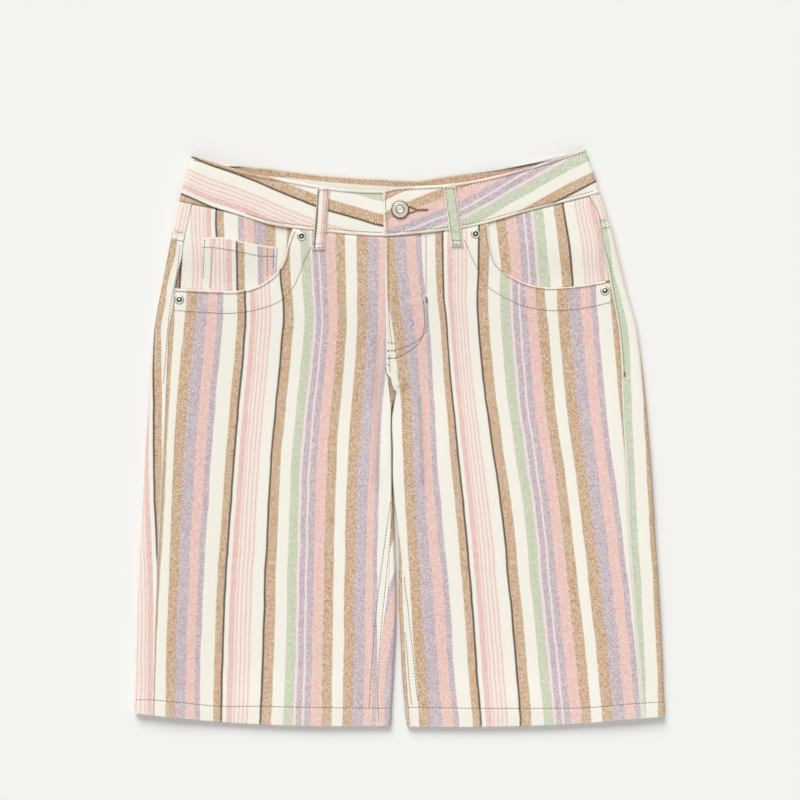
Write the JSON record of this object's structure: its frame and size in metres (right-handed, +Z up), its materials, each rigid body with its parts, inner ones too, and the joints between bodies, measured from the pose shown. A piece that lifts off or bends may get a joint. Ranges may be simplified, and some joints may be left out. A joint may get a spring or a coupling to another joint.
{
  "type": "denim bermuda shorts",
  "caption": "Knee-length striped denim shorts with curved front pockets, a coin pocket and a buttoned waistband, laid flat on their back with the front up.",
  "frame": {"origin": "bottom centre of the bounding box, on the surface that the shorts lie on", "axes": "+Y from the hems to the waist, +X to the wearer's left, +Z up out of the front"},
  "size_m": [0.5077, 0.553, 0.0182],
  "materials": {
    "striped_denim": "cotton twill denim, woven lengthwise stripes of ecru, sand, lilac, rose and sage, with fine dark lines; matt, softly flecked",
    "belt_loop_denim": "the same striped denim folded to a narrow strip, edge-stitched",
    "thread": "twisted brown-grey topstitching thread",
    "button_metal": "worn nickel-plated shank button with a dark recess",
    "rivet_metal": "worn nickel-plated rivet with a dark ring"
  },
  "bodies": {
    "root": {"front_right": "striped_denim", "front_left": "striped_denim", "back_right": "striped_denim", "back_left": "striped_denim", "yoke_right": "striped_denim", "yoke_left": "striped_denim", "pocket_facing_right": "striped_denim", "pocket_facing_left": "striped_denim", "coin_pocket": "striped_denim", "waistband_right": "striped_denim", "waistband_left": "striped_denim", "waistband_back": "striped_denim", "belt_loop_front_right": "belt_loop_denim", "belt_loop_front_left": "belt_loop_denim", "belt_loop_back_right": "belt_loop_denim", "belt_loop_back_middle": "belt_loop_denim", "belt_loop_back_left": "belt_loop_denim", "button": "button_metal", "rivet_right_inner": "rivet_metal", "rivet_right_outer": "rivet_metal", "rivet_left_inner": "rivet_metal", "rivet_left_outer": "rivet_metal"}
  },
  "joints": []
}
